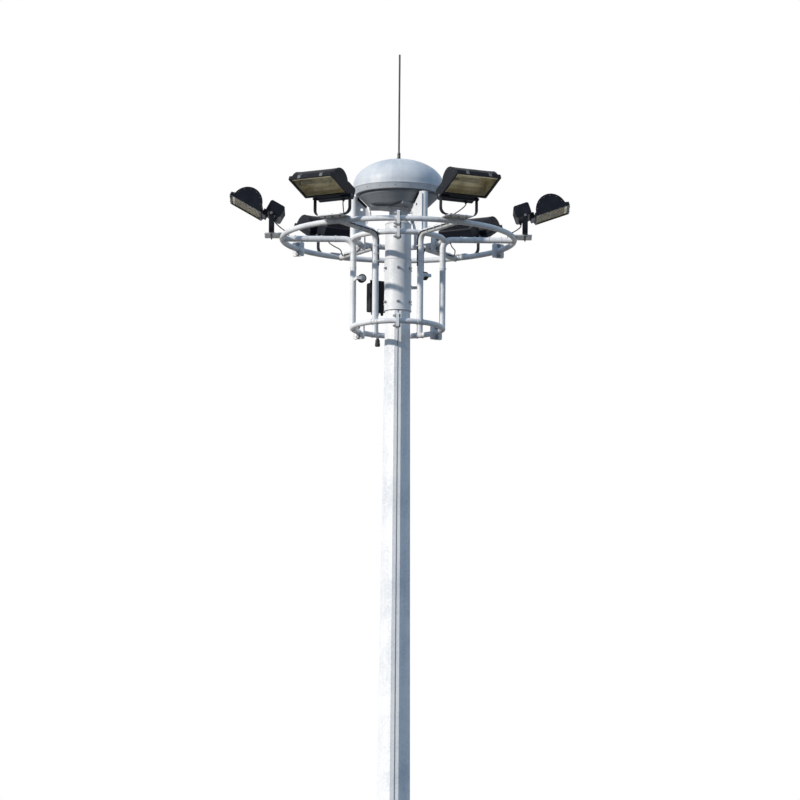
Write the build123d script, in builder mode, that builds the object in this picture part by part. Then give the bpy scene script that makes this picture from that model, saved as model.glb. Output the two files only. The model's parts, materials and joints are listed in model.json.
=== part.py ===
from build123d import *
import os
from math import cos, sin, radians, degrees, sqrt

os.makedirs("parts", exist_ok=True)

# A lowering high mast floodlight tower: a twelve-sided tapered steel mast in two slip-jointed
# sections, a fixed head with rope pulleys under a spun cap, and a carriage of bent tubes and
# rings that carries six floodlights and is wound down the mast on three ropes.
# The origin is the centre of the base flange's underside. Levels in the head and on the carriage
# are measured from the plane of the carriage's outer ring, at the carriage's docked place.

ring_level = 19200.0
fit_gap = 0.3

# Mast shell
mast_sides = 12
mast_turn = 16.5
mast_base_diameter = 545.0
mast_ring_diameter = 244.0
shell_wall = 5.0
slip_joint_bottom = 9400.0
slip_joint_length = 520.0
mast_top_below_ring = 215.0

# Base flange and its gussets
flange_diameter = 820.0
flange_thickness = 30.0
flange_bore_diameter = 380.0
bolt_circle = 700.0
bolt_hole_diameter = 33.0
bolt_count = 12
gusset_height = 170.0
gusset_reach = 112.0
gusset_thickness = 12.0
gusset_nose = 25.0

# Access door, wrapped over the facets on the +X side
door_width = 250.0
door_height = 700.0
door_sill = 520.0
door_sheet = 4.0
door_overlap = 22.0
door_angle = 1.5
door_corner = 50.0

# Sleeve over the mast top, reduced to the neck that carries the head
sleeve_bottom = -721.0
sleeve_step = -207.0
sleeve_plate = 6.0
sleeve_wall = 5.0
sleeve_step_thickness = 3.0
sleeve_shoulder_bottom = 150.0
sleeve_shoulder_top = 190.0
neck_radius = 91.0

# Head pan: a disc with a cone and a short wall rising to the rim of the cap, and a shallow box
# with three arms under the disc, one arm round each rope
pan_level = 336.0
pan_disc_radius = 303.0
pan_rim_radius = 385.0
pan_disc_thickness = 6.0
pan_sheet = 4.0
pan_flange_inset = 2.0
arm_level = 311.0
arm_reach = 290.0
arm_width = 236.0
rope_hole_radius = 15.0

# Spun cap: a dome over a short straight band, a rolled bead and a skirt that draws in to the rim
cap_radius = 450.0
cap_shoulder_level = 535.0
cap_dome_height = 268.0
cap_bead_level = 500.0
cap_bead_size = 5.0
cap_rim_radius = 424.0
cap_rim_level = 441.0
cap_lip_radius = 395.0
cap_sheet = 4.0
cap_boss_radius = 40.0

# Lightning rod
rod_radius = 9.0
rod_tip_level = 1870.0
rod_socket_radius = 16.0
rod_socket_height = 60.0
rod_base_thickness = 8.0
rod_base_inset = 4.0

# Pulleys and ropes
rope_radius = 5.0
rope_circle_radius = 281.0
pulley_pitch_radius = 110.0
pulley_level = 520.0
pulley_width = 30.0
pulley_rim_height = 10.0
pulley_rim_edge = 5.0
pulley_groove_slack = 1.0
pulley_pin_radius = 12.0
pulley_side_gap = 4.0
cheek_thickness = 6.0
cheek_inner_reach = 76.0
cheek_outer_reach = 88.0
cheek_top_half = 30.0
cheek_top_rise = 35.0
running_gap = 0.06
side_gap = 1.0

# Carriage rings
outer_ring_radius = 1148.0
cage_ring_radius = 442.0
ring_tube_radius = 27.0
cage_height = 893.0
post_tube_radius = 30.15
post_bend_radius = 92.0
joint_plate_thickness = 14.0
joint_plate_width = 120.0
joint_plate_height = 140.0
joint_plate_corner = 12.0
joint_bolt_hole_radius = 11.0
joint_bolt_offset = 50.0

# Docking tubes with their rope fins
dock_tube_radius = 35.0
dock_tube_wall = 5.0
dock_tube_top = 419.0
dock_tube_weld = 3.0
dock_tube_floor = 60.0
fin_thickness = 10.0
fin_inner_radius = 312.0
fin_cone_clearance = 24.0
fin_hole_radius = 14.0
fin_hole_level = 297.0
fin_hole_reach = 78.0
fin_foot_reach = 60.0
fin_corner = 30.0
socket_radius = 12.0
socket_bottom = 205.0
socket_top = 268.0
socket_lap = 8.0

# Guide rollers
roller_radius = 42.0
roller_width = 50.0
roller_circle_radius = 368.0
roller_level = -411.0
roller_lag = 15.0
roller_pin_radius = 8.0
roller_hub_width = 57.0
roller_hub_radius = 16.0
roller_cheek_thickness = 6.0
roller_cheek_height = 30.0
roller_cheek_nose = 20.0
roller_plate_thickness = 8.0
roller_pin_overhang = 6.0
roller_edge = 5.0
roller_hub_taper = 2.0

# Junction box
box_width = 180.0
box_height = 290.0
box_depth = 120.0
box_level = -495.0
box_shift = 78.0
box_corner = 14.0
box_plate_thickness = 6.0
box_plate_height = 319.0

# Floodlights, by angle round the mast, with the tilt of each glass above the horizontal.
# Their pivots and brackets are placed outward from the outer ring's centre line.
lamp_angles = [239.0, 298.0, 0.0, 60.0, 120.0, 180.0]
lamp_tilts = [22.5, 26.0, 19.3, 27.0, 27.0, 29.5]
pivot_reach = 107.0
pivot_level = 218.0
bracket_reach = 174.0
bracket_length = 270.0
bracket_thickness = 9.0
bracket_corner = 15.0
stirrup_bar_width = 50.0
stirrup_bar_thickness = 6.0
stirrup_width = 404.0
stirrup_corner = 65.0
pivot_pin_radius = 8.0
lamp_frame_length = 495.0
lamp_frame_depth = 355.0
lamp_frame_start = 92.0
lamp_frame_height = 35.0
lamp_glass_drop = 44.0
lamp_frame_border = 20.0
lamp_frame_corner = 12.0
lamp_frame_lip = 8.0
lamp_glass_recess = 6.0
lamp_glass_thickness = 5.0
lamp_glass_lap = 6.0
barrel_middle = 259.0
barrel_reach = 152.0
barrel_rise = 168.0
lamp_sheet = 3.0
gear_box_start = -90.0
gear_box_end = 70.0
gear_box_height = 125.0
gear_box_side_gap = 9.0
gear_box_corner = 22.0
neck_lap = 20.0
neck_lift = 10.0
neck_share = 0.7
pivot_boss_radius = 20.0
pivot_pad_length = 40.0
pivot_head_radius = 16.0
pivot_head_width = 10.0
lead_radius = 5.5
lead_start_reach = -105.0
lead_end_level = -300.0

pivot_radius = outer_ring_radius + pivot_reach
bracket_outer_radius = outer_ring_radius + bracket_reach
lead_start_radius = outer_ring_radius + lead_start_reach


def mast_radius(level):
    """Corner radius of the mast's outside at a level above the ground."""
    taper = (mast_base_diameter - mast_ring_diameter) / 2 / ring_level
    return mast_base_diameter / 2 - taper * level


def upright(angle, level=0.0):
    """Plane through the mast's axis, with x running outward and y running up."""
    out = (cos(radians(angle)), sin(radians(angle)), 0)
    across = (sin(radians(angle)), -cos(radians(angle)), 0)
    return Plane(origin=(0, 0, level), x_dir=out, z_dir=across)


def lamp_plane(angle, tilt):
    """Plane across a floodlight's pivot, with x along its glass and y up through its back."""
    turn = radians(angle)
    lift = radians(tilt)
    pivot = (pivot_radius * cos(turn), pivot_radius * sin(turn), ring_level + pivot_level)
    along = (cos(turn) * cos(lift), sin(turn) * cos(lift), sin(lift))
    across = (sin(turn), -cos(turn), 0)
    return Plane(origin=pivot, x_dir=along, z_dir=across)


def finish(piece, label):
    """Names a finished piece and writes it."""
    piece.part.label = label
    export_step(piece.part, f"parts/{label}.step")


# Mast sections: the upper one slips down over the lower one
corner_factor = cos(radians(180 / mast_sides))
lower_inset = (shell_wall + fit_gap) / corner_factor
slip_joint_top = slip_joint_bottom + slip_joint_length
mast_top = ring_level - mast_top_below_ring


def mast_tube(bottom, top, inset):
    """Hollow tapered tube between two levels, inset from the mast's outline."""
    with BuildPart() as tube:
        for shrink, mode in ((inset, Mode.ADD), (inset + shell_wall / corner_factor, Mode.SUBTRACT)):
            for level in (bottom, top):
                with BuildSketch(Plane.XY.offset(level)):
                    RegularPolygon(mast_radius(level) - shrink, mast_sides, rotation=mast_turn)
            loft(mode=mode)
    return tube.part


door_plane = Plane(
    origin=(0, 0, door_sill + door_height / 2),
    x_dir=(-sin(radians(door_angle)), cos(radians(door_angle)), 0),
    z_dir=(cos(radians(door_angle)), sin(radians(door_angle)), 0),
)

lower_tube = mast_tube(flange_thickness, slip_joint_top, lower_inset)

with BuildPart() as lower_section:
    add(lower_tube)
    with BuildSketch(door_plane):
        opening_corner = door_corner - door_overlap / 2
        RectangleRounded(door_width - 2 * door_overlap, door_height - 2 * door_overlap, opening_corner)
    extrude(amount=mast_base_diameter, mode=Mode.SUBTRACT)
finish(lower_section, "lower_section")

upper_tube = mast_tube(slip_joint_bottom, mast_top, 0)

with BuildPart() as upper_section:
    add(upper_tube)
finish(upper_section, "upper_section")

with BuildPart() as access_door:
    door_top = door_sill + door_height
    for shrink, mode in ((-door_sheet, Mode.ADD), (0, Mode.SUBTRACT)):
        for level in (door_sill - door_sheet, door_top + door_sheet):
            with BuildSketch(Plane.XY.offset(level)):
                outside = mast_radius(level) - lower_inset + (fit_gap - shrink) / corner_factor
                RegularPolygon(outside, mast_sides, rotation=mast_turn)
        loft(mode=mode)
    with BuildSketch(door_plane):
        RectangleRounded(door_width, door_height, door_corner)
    extrude(amount=mast_base_diameter, mode=Mode.INTERSECT)
finish(access_door, "access_door")

with BuildPart() as base_flange:
    with BuildSketch():
        Circle(flange_diameter / 2)
        Circle(flange_bore_diameter / 2, mode=Mode.SUBTRACT)
        with PolarLocations(bolt_circle / 2, bolt_count, start_angle=mast_turn):
            Circle(bolt_hole_diameter / 2, mode=Mode.SUBTRACT)
    extrude(amount=flange_thickness)
    gusset_top = flange_thickness + gusset_height
    for number in range(bolt_count):
        angle = mast_turn + (number + 0.5) * 360 / bolt_count
        foot = (mast_radius(flange_thickness) - lower_inset) * corner_factor + fit_gap
        head = (mast_radius(gusset_top) - lower_inset) * corner_factor + fit_gap
        with BuildSketch(upright(angle)):
            with BuildLine():
                Polyline(
                    (foot, flange_thickness),
                    (foot + gusset_reach, flange_thickness),
                    (foot + gusset_reach, flange_thickness + gusset_nose),
                    (head + gusset_nose, gusset_top),
                    (head, gusset_top),
                    close=True,
                )
            make_face()
        extrude(amount=gusset_thickness / 2, both=True)
finish(base_flange, "base_flange")

# Head
head = ring_level
sleeve_inner = mast_radius(head + sleeve_bottom) + fit_gap
sleeve_outer_radius = sleeve_inner + sleeve_plate
sleeve_upper_radius = sleeve_outer_radius - sleeve_wall

with BuildPart() as head_sleeve:
    with BuildSketch(Plane.XZ):
        with BuildLine():
            Polyline(
                (sleeve_inner, head + sleeve_bottom),
                (sleeve_outer_radius, head + sleeve_bottom),
                (sleeve_outer_radius, head + sleeve_step),
                (sleeve_upper_radius, head + sleeve_step),
                (sleeve_upper_radius, head + sleeve_shoulder_bottom),
                (neck_radius, head + sleeve_shoulder_top),
                (neck_radius, head + pan_level - fit_gap),
                (neck_radius - sleeve_wall, head + pan_level - fit_gap),
                (neck_radius - sleeve_wall, head + sleeve_shoulder_top),
                (sleeve_upper_radius - sleeve_wall, head + sleeve_shoulder_bottom),
                (sleeve_upper_radius - sleeve_wall, head + sleeve_step + sleeve_step_thickness),
                (sleeve_inner, head + sleeve_step + sleeve_step_thickness),
                close=True,
            )
        make_face()
    revolve(axis=Axis.Z)
finish(head_sleeve, "head_sleeve")

wall_foot = head + pan_level + pan_rim_radius - pan_disc_radius
pan_top = head + cap_rim_level
flange_radius = cap_rim_radius - fit_gap - pan_flange_inset
rope_angles = [60.0, 180.0, 300.0]

with BuildPart() as head_pan:
    with BuildSketch(Plane.XZ):
        with BuildLine():
            Polyline(
                (neck_radius - sleeve_wall, head + pan_level),
                (pan_disc_radius, head + pan_level),
                (pan_rim_radius, wall_foot),
                (pan_rim_radius, pan_top),
                (flange_radius, pan_top),
                (flange_radius, pan_top + pan_sheet),
                (pan_rim_radius - pan_sheet, pan_top + pan_sheet),
                (pan_rim_radius - pan_sheet, wall_foot + pan_sheet / 2),
                (pan_disc_radius - pan_sheet / 2, head + pan_level + pan_disc_thickness),
                (neck_radius - sleeve_wall, head + pan_level + pan_disc_thickness),
                close=True,
            )
        make_face()
    revolve(axis=Axis.Z)
    with BuildSketch(Plane.XY.offset(head + arm_level)):
        for angle in rope_angles:
            with Locations(Rotation(0, 0, angle)):
                with Locations((arm_reach / 2, 0)):
                    Rectangle(arm_reach, arm_width)
    extrude(amount=pan_level - arm_level)
    with BuildSketch(Plane.XY.offset(head + arm_level + pan_sheet)):
        for angle in rope_angles:
            with Locations(Rotation(0, 0, angle)):
                with Locations((arm_reach / 2 - pan_sheet, 0)):
                    Rectangle(arm_reach, arm_width - 2 * pan_sheet)
    extrude(amount=pan_level - arm_level - pan_sheet, mode=Mode.SUBTRACT)
    with BuildSketch(Plane.XY.offset(head + arm_level)):
        Circle(neck_radius + fit_gap)
    extrude(amount=pan_level - arm_level, mode=Mode.SUBTRACT)
    with BuildSketch(Plane.XY.offset(head + arm_level)):
        with PolarLocations(rope_circle_radius, len(rope_angles), start_angle=rope_angles[0]):
            Circle(rope_hole_radius)
    extrude(amount=pan_level - arm_level + pan_disc_thickness, mode=Mode.SUBTRACT)
finish(head_pan, "head_pan")

lip_top = pan_top + pan_sheet + fit_gap

with BuildPart() as dome_cover:
    with BuildSketch(Plane.XZ):
        shoulder = head + cap_shoulder_level
        bead = head + cap_bead_level
        inner_radius = cap_radius - cap_sheet
        with BuildLine():
            EllipticalCenterArc(
                (0, shoulder), cap_radius, cap_dome_height, start_angle=0, arc_size=90
            )
            Line((0, shoulder + cap_dome_height), (0, shoulder + cap_dome_height - cap_sheet))
            EllipticalCenterArc(
                (0, shoulder), inner_radius, cap_dome_height - cap_sheet, start_angle=0, arc_size=90
            )
            Polyline(
                (inner_radius, shoulder),
                (inner_radius, bead),
                (cap_rim_radius - cap_sheet, lip_top + cap_sheet),
                (cap_lip_radius, lip_top + cap_sheet),
                (cap_lip_radius, lip_top),
                (cap_rim_radius, lip_top),
                (cap_radius, bead - cap_bead_size),
                (cap_radius + cap_bead_size, bead - cap_bead_size / 2),
                (cap_radius + cap_bead_size, bead + cap_bead_size / 2),
                (cap_radius, bead + cap_bead_size),
                (cap_radius, shoulder),
            )
        make_face()
    revolve(axis=Axis.Z)
    with BuildSketch(Plane.XY.offset(shoulder + cap_dome_height - 2 * cap_sheet)):
        Circle(cap_boss_radius)
    extrude(amount=2 * cap_sheet + side_gap)
finish(dome_cover, "dome_cover")

rod_foot = shoulder + cap_dome_height + side_gap

with BuildPart() as lightning_rod:
    with BuildSketch(Plane.XY.offset(rod_foot)):
        Circle(cap_boss_radius - rod_base_inset)
    extrude(amount=rod_base_thickness)
    with BuildSketch(Plane.XY.offset(rod_foot + rod_base_thickness)):
        Circle(rod_socket_radius)
    extrude(amount=rod_socket_height)
    with BuildSketch(Plane.XY.offset(rod_foot + rod_base_thickness + rod_socket_height)):
        Circle(rod_radius)
    extrude(amount=head + rod_tip_level - rod_foot - rod_base_thickness - rod_socket_height)
    fillet(lightning_rod.faces().sort_by(Axis.Z)[-1].edges(), rod_radius * 0.8)
finish(lightning_rod, "lightning_rod")

# Rope pulleys stand on the pan in pairs of cheek plates, one pair over each rope
pulley_centre_radius = rope_circle_radius - pulley_pitch_radius
cheek_foot = head + pan_level + pan_disc_thickness + fit_gap
pulley_root = pulley_pitch_radius - rope_radius
pulley_rim = pulley_root + pulley_rim_height + rope_radius
pulley_side = pulley_width / 2 + pulley_side_gap

with BuildPart() as pulley_cheeks:
    for angle in rope_angles:
        for side in (-1, 1):
            face = upright(angle, head).offset(side * (pulley_side + cheek_thickness / 2))
            with BuildSketch(face):
                with BuildLine():
                    Polyline(
                        (pulley_centre_radius - cheek_inner_reach, cheek_foot - head),
                        (pulley_centre_radius + cheek_outer_reach, cheek_foot - head),
                        (pulley_centre_radius + cheek_top_half, pulley_level + cheek_top_rise),
                        (pulley_centre_radius - cheek_top_half, pulley_level + cheek_top_rise),
                        close=True,
                    )
                make_face()
            extrude(amount=cheek_thickness / 2, both=True)
        with BuildSketch(upright(angle, head)):
            with Locations((pulley_centre_radius, pulley_level)):
                Circle(pulley_pin_radius)
        extrude(amount=pulley_side + cheek_thickness, both=True)
finish(pulley_cheeks, "pulley_cheeks")

with BuildPart() as rope_pulleys:
    for angle in rope_angles:
        wheel_axis_plane = upright(angle, head)
        centre = wheel_axis_plane.from_local_coords((pulley_centre_radius, pulley_level, 0))
        across = wheel_axis_plane.z_dir
        section = Plane(origin=centre, x_dir=(0, 0, 1), z_dir=wheel_axis_plane.x_dir)
        with BuildSketch(section):
            with BuildLine():
                Polyline(
                    (pulley_pin_radius + running_gap, -pulley_width / 2),
                    (pulley_rim, -pulley_width / 2),
                    (pulley_rim, -pulley_width / 2 + pulley_rim_edge),
                    (pulley_root - fit_gap, -rope_radius - pulley_groove_slack),
                    (pulley_root - fit_gap, rope_radius + pulley_groove_slack),
                    (pulley_rim, pulley_width / 2 - pulley_rim_edge),
                    (pulley_rim, pulley_width / 2),
                    (pulley_pin_radius + running_gap, pulley_width / 2),
                    close=True,
                )
            make_face()
        revolve(axis=Axis(centre, across))
finish(rope_pulleys, "rope_pulleys")

# Hoist ropes, from the sockets on the carriage to the pulleys
with BuildPart() as hoist_ropes:
    with BuildSketch(Plane.XY.offset(head + socket_top + fit_gap)):
        with PolarLocations(rope_circle_radius, len(rope_angles), start_angle=rope_angles[0]):
            Circle(rope_radius)
    extrude(amount=pulley_level - socket_top - fit_gap)
finish(hoist_ropes, "hoist_ropes")


# Carriage: each ring is three arcs, bolted together through pairs of plates
def ring_arc(radius, level, start):
    """A third of a tube ring, with a joint plate on each end."""
    half_gap = degrees((fit_gap / 2 + joint_plate_thickness / 2) / radius)
    with BuildPart() as arc:
        with BuildSketch(upright(start + half_gap, level)):
            with Locations((radius, 0)):
                Circle(ring_tube_radius)
        revolve(axis=Axis.Z, revolution_arc=120 - 2 * half_gap)
        for angle, side in ((start, -1), (start + 120, 1)):
            plate_plane = upright(angle, level).offset(side * fit_gap / 2)
            with BuildSketch(plate_plane):
                with Locations((radius, 0)):
                    RectangleRounded(joint_plate_width, joint_plate_height, joint_plate_corner)
                with Locations((radius, joint_bolt_offset), (radius, -joint_bolt_offset)):
                    Circle(joint_bolt_hole_radius, mode=Mode.SUBTRACT)
            extrude(amount=side * joint_plate_thickness)
    return arc.part


arc_starts = [30.0, 150.0, 270.0]

for number, start in enumerate(arc_starts, start=1):
    arc = ring_arc(outer_ring_radius, head, start)
    with BuildPart() as outer_ring_arc:
        add(arc)
    finish(outer_ring_arc, f"outer_ring_arc_{number}")

ring_inner_radius = outer_ring_radius - ring_tube_radius
spoke_end = sqrt(ring_inner_radius**2 - post_tube_radius**2) - fit_gap
fin_top_offset = pan_level - pan_disc_radius - fin_cone_clearance
fin_outer_radius = cage_ring_radius + ring_tube_radius
fin_peak_radius = dock_tube_top - fin_top_offset


def bent_post(angle):
    """Tube that runs in from the outer ring as a spoke, bends and runs down to the lower ring."""
    side = upright(angle, head)
    bend_start = cage_ring_radius + post_bend_radius
    hub = side.from_local_coords((bend_start, -post_bend_radius, 0))
    with BuildPart() as post:
        with BuildSketch(Plane(origin=side.from_local_coords((spoke_end, 0, 0)), z_dir=-side.x_dir)):
            Circle(post_tube_radius)
        extrude(amount=spoke_end - bend_start)
        with BuildSketch(Plane(origin=side.from_local_coords((bend_start, 0, 0)), z_dir=-side.x_dir)):
            Circle(post_tube_radius)
        revolve(axis=Axis(hub, side.z_dir), revolution_arc=90)
        leg_top = side.from_local_coords((cage_ring_radius, -post_bend_radius, 0))
        with BuildSketch(Plane(origin=leg_top, z_dir=(0, 0, -1))):
            Circle(post_tube_radius)
        extrude(amount=cage_height - post_bend_radius)
    return post.part


for number, start in enumerate(arc_starts, start=1):
    dock_angle = start + 30
    top_arc = ring_arc(cage_ring_radius, head, start)
    bottom_arc = ring_arc(cage_ring_radius, head - cage_height, start)
    posts = [bent_post(start + 30), bent_post(start + 90)]
    with BuildPart() as cage_frame:
        add([top_arc, bottom_arc, *posts])
        with BuildSketch(upright(dock_angle, head)):
            with BuildLine():
                Polyline(
                    (fin_outer_radius, 0),
                    (fin_outer_radius, dock_tube_top - fin_corner),
                    (fin_outer_radius - fin_corner, dock_tube_top),
                    (fin_peak_radius, dock_tube_top),
                    (fin_inner_radius, fin_inner_radius + fin_top_offset),
                    (rope_circle_radius + 2 * rope_radius, socket_top - socket_lap),
                    (rope_circle_radius, socket_top - socket_lap),
                    (rope_circle_radius, socket_bottom + socket_lap),
                    (cage_ring_radius - fin_foot_reach, 0),
                    close=True,
                )
            make_face()
            with Locations((cage_ring_radius - fin_hole_reach, fin_hole_level)):
                Circle(fin_hole_radius, mode=Mode.SUBTRACT)
        extrude(amount=fin_thickness / 2, both=True)
        dock_shift = dock_tube_radius + fin_thickness / 2 - dock_tube_weld
        dock_point = upright(dock_angle, head).from_local_coords((cage_ring_radius, 0, -dock_shift))
        with BuildSketch(Plane(origin=dock_point)):
            Circle(dock_tube_radius)
        extrude(amount=dock_tube_top)
        with BuildSketch(Plane(origin=dock_point + Vector(0, 0, dock_tube_floor))):
            Circle(dock_tube_radius - dock_tube_wall)
        extrude(amount=dock_tube_top, mode=Mode.SUBTRACT)
        socket_point = upright(dock_angle, head).from_local_coords((rope_circle_radius, socket_bottom, 0))
        with BuildSketch(Plane(origin=socket_point)):
            Circle(socket_radius)
        extrude(amount=socket_top - socket_bottom)
    finish(cage_frame, f"cage_frame_{number}")

# Guide rollers run on pins held by cheeks on a plate that reaches sideways to the next post
roller_angles = [start + 30 + roller_lag for start in arc_starts]
cheek_offset = roller_hub_width / 2 + side_gap
post_out = cage_ring_radius * cos(radians(roller_lag)) - roller_circle_radius
post_side = cage_ring_radius * sin(radians(roller_lag))

with BuildPart() as roller_brackets:
    for angle in roller_angles:
        centre = upright(angle, head).from_local_coords((roller_circle_radius, roller_level, 0))
        flat = Plane(origin=centre, x_dir=upright(angle).x_dir, z_dir=(0, 0, 1))
        with BuildSketch(flat.offset(-roller_cheek_height / 2)):
            reach = post_side + cheek_offset + roller_cheek_thickness
            with Locations((post_out, (cheek_offset + roller_cheek_thickness - post_side) / 2)):
                Rectangle(roller_plate_thickness, reach)
            for side in (-1, 1):
                cheek_middle = (post_out - roller_cheek_nose) / 2
                with Locations((cheek_middle, side * (cheek_offset + roller_cheek_thickness / 2))):
                    Rectangle(post_out + roller_cheek_nose, roller_cheek_thickness)
            with Locations((post_out, -post_side)):
                Circle(post_tube_radius + fit_gap, mode=Mode.SUBTRACT)
        extrude(amount=roller_cheek_height)
        with BuildSketch(upright(angle, head)):
            with Locations((roller_circle_radius, roller_level)):
                Circle(roller_pin_radius)
        extrude(amount=cheek_offset + roller_cheek_thickness + roller_pin_overhang, both=True)
finish(roller_brackets, "roller_brackets")

for number, angle in enumerate(roller_angles, start=1):
    with BuildPart() as guide_roller:
        centre = upright(angle, head).from_local_coords((roller_circle_radius, roller_level, 0))
        section = Plane(origin=centre, x_dir=(0, 0, 1), z_dir=upright(angle).x_dir)
        with BuildSketch(section):
            with BuildLine():
                bore = roller_pin_radius + running_gap
                Polyline(
                    (bore, -roller_hub_width / 2),
                    (roller_hub_radius, -roller_hub_width / 2),
                    (roller_hub_radius + roller_hub_taper, -roller_width / 2),
                    (roller_radius - roller_edge, -roller_width / 2),
                    (roller_radius, -roller_width / 2 + roller_edge),
                    (roller_radius, roller_width / 2 - roller_edge),
                    (roller_radius - roller_edge, roller_width / 2),
                    (roller_hub_radius + roller_hub_taper, roller_width / 2),
                    (roller_hub_radius, roller_hub_width / 2),
                    (bore, roller_hub_width / 2),
                    close=True,
                )
            make_face()
        revolve(axis=Axis(centre, upright(angle).z_dir))
    finish(guide_roller, f"guide_roller_{number}")

# Junction box, on the outer side of the rear left post
box_angle = 120.0
box_back = cage_ring_radius + post_tube_radius + fit_gap

with BuildPart() as junction_box:
    box_plane = upright(box_angle, head + box_level)
    back = Plane(
        origin=box_plane.from_local_coords((box_back, 0, box_shift)),
        x_dir=-box_plane.z_dir,
        z_dir=box_plane.x_dir,
    )
    with BuildSketch(back):
        with Locations((post_tube_radius / 2, 0)):
            Rectangle(box_width + post_tube_radius, box_plate_height)
    extrude(amount=box_plate_thickness)
    with BuildSketch(back.offset(box_plate_thickness)):
        RectangleRounded(box_width, box_height, box_corner)
    extrude(amount=box_depth)
finish(junction_box, "junction_box")

# Supply leads, strapped beside the spokes and the posts, on the side away from the docking tube
lead_shift = post_tube_radius + fit_gap + lead_radius

with BuildPart() as lamp_leads:
    for post_angle in [start + turn for start in arc_starts for turn in (30, 90)]:
        away = 1 if post_angle in rope_angles else -1
        side = upright(post_angle, head).offset(away * lead_shift)
        bend_start = cage_ring_radius + post_bend_radius
        hub = side.from_local_coords((bend_start, -post_bend_radius, 0))
        lead_start = side.from_local_coords((lead_start_radius, 0, 0))
        with BuildSketch(Plane(origin=lead_start, z_dir=-side.x_dir)):
            Circle(lead_radius)
        extrude(amount=lead_start_radius - bend_start)
        with BuildSketch(Plane(origin=side.from_local_coords((bend_start, 0, 0)), z_dir=-side.x_dir)):
            Circle(lead_radius)
        revolve(axis=Axis(hub, side.z_dir), revolution_arc=90)
        leg_top = side.from_local_coords((cage_ring_radius, -post_bend_radius, 0))
        with BuildSketch(Plane(origin=leg_top, z_dir=(0, 0, -1))):
            Circle(lead_radius)
        extrude(amount=-lead_end_level - post_bend_radius)
finish(lamp_leads, "lamp_leads")

# Flat brackets lie on the ring and reach outward, with the stirrups bolted to their tops
bracket_inner_radius = ring_inner_radius + fit_gap
bracket_foot = head + ring_tube_radius + fit_gap
stirrup_foot = bracket_foot + bracket_thickness + fit_gap
stirrup_height = head + pivot_level - stirrup_foot

with BuildPart() as lamp_brackets:
    with BuildSketch(Plane.XY.offset(bracket_foot)):
        for angle in lamp_angles:
            with Locations(Rotation(0, 0, angle)):
                with Locations(((bracket_inner_radius + bracket_outer_radius) / 2, 0)):
                    bracket_width = bracket_outer_radius - bracket_inner_radius
                    RectangleRounded(bracket_width, bracket_length, bracket_corner)
    extrude(amount=bracket_thickness)
finish(lamp_brackets, "lamp_brackets")

with BuildPart() as lamp_stirrups:
    for angle in lamp_angles:
        bar = upright(angle, stirrup_foot)
        foot_point = bar.from_local_coords((pivot_radius, 0, 0))
        face = Plane(origin=foot_point, x_dir=-bar.z_dir, z_dir=bar.x_dir)
        side_plane = upright(angle, head)
        half = stirrup_width / 2
        inner = half - stirrup_bar_thickness
        inner_corner = stirrup_corner - stirrup_bar_thickness
        with BuildSketch(face):
            with BuildLine():
                FilletPolyline(
                    (-half, stirrup_height),
                    (-half, 0),
                    (half, 0),
                    (half, stirrup_height),
                    radius=stirrup_corner,
                )
                FilletPolyline(
                    (inner, stirrup_height),
                    (inner, stirrup_bar_thickness),
                    (-inner, stirrup_bar_thickness),
                    (-inner, stirrup_height),
                    radius=inner_corner,
                )
                Line((-half, stirrup_height), (-inner, stirrup_height))
                Line((half, stirrup_height), (inner, stirrup_height))
            make_face()
        extrude(amount=stirrup_bar_width / 2, both=True)
        for end in (-1, 1):
            with BuildSketch(side_plane.offset(end * inner)):
                with Locations((pivot_radius, pivot_level)):
                    Circle(stirrup_bar_width / 2)
            extrude(amount=end * stirrup_bar_thickness)
        with BuildSketch(side_plane):
            with Locations((pivot_radius, pivot_level)):
                Circle(pivot_pin_radius + running_gap)
        extrude(amount=stirrup_width, both=True, mode=Mode.SUBTRACT)
finish(lamp_stirrups, "lamp_stirrups")


def barrel_outline(inset):
    """Side outline of the floodlight's curved back, in the lamp's plane."""
    reach = barrel_reach - inset
    foot = -lamp_glass_drop
    EllipticalCenterArc((barrel_middle, foot), reach, barrel_rise - inset, start_angle=0, arc_size=180)
    Line((barrel_middle - reach, foot), (barrel_middle + reach, foot))


gear_box_half = stirrup_width / 2 - stirrup_bar_thickness - gear_box_side_gap
frame_foot = -lamp_glass_drop - lamp_glass_recess
frame_middle = lamp_frame_start + lamp_frame_depth / 2

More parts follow.
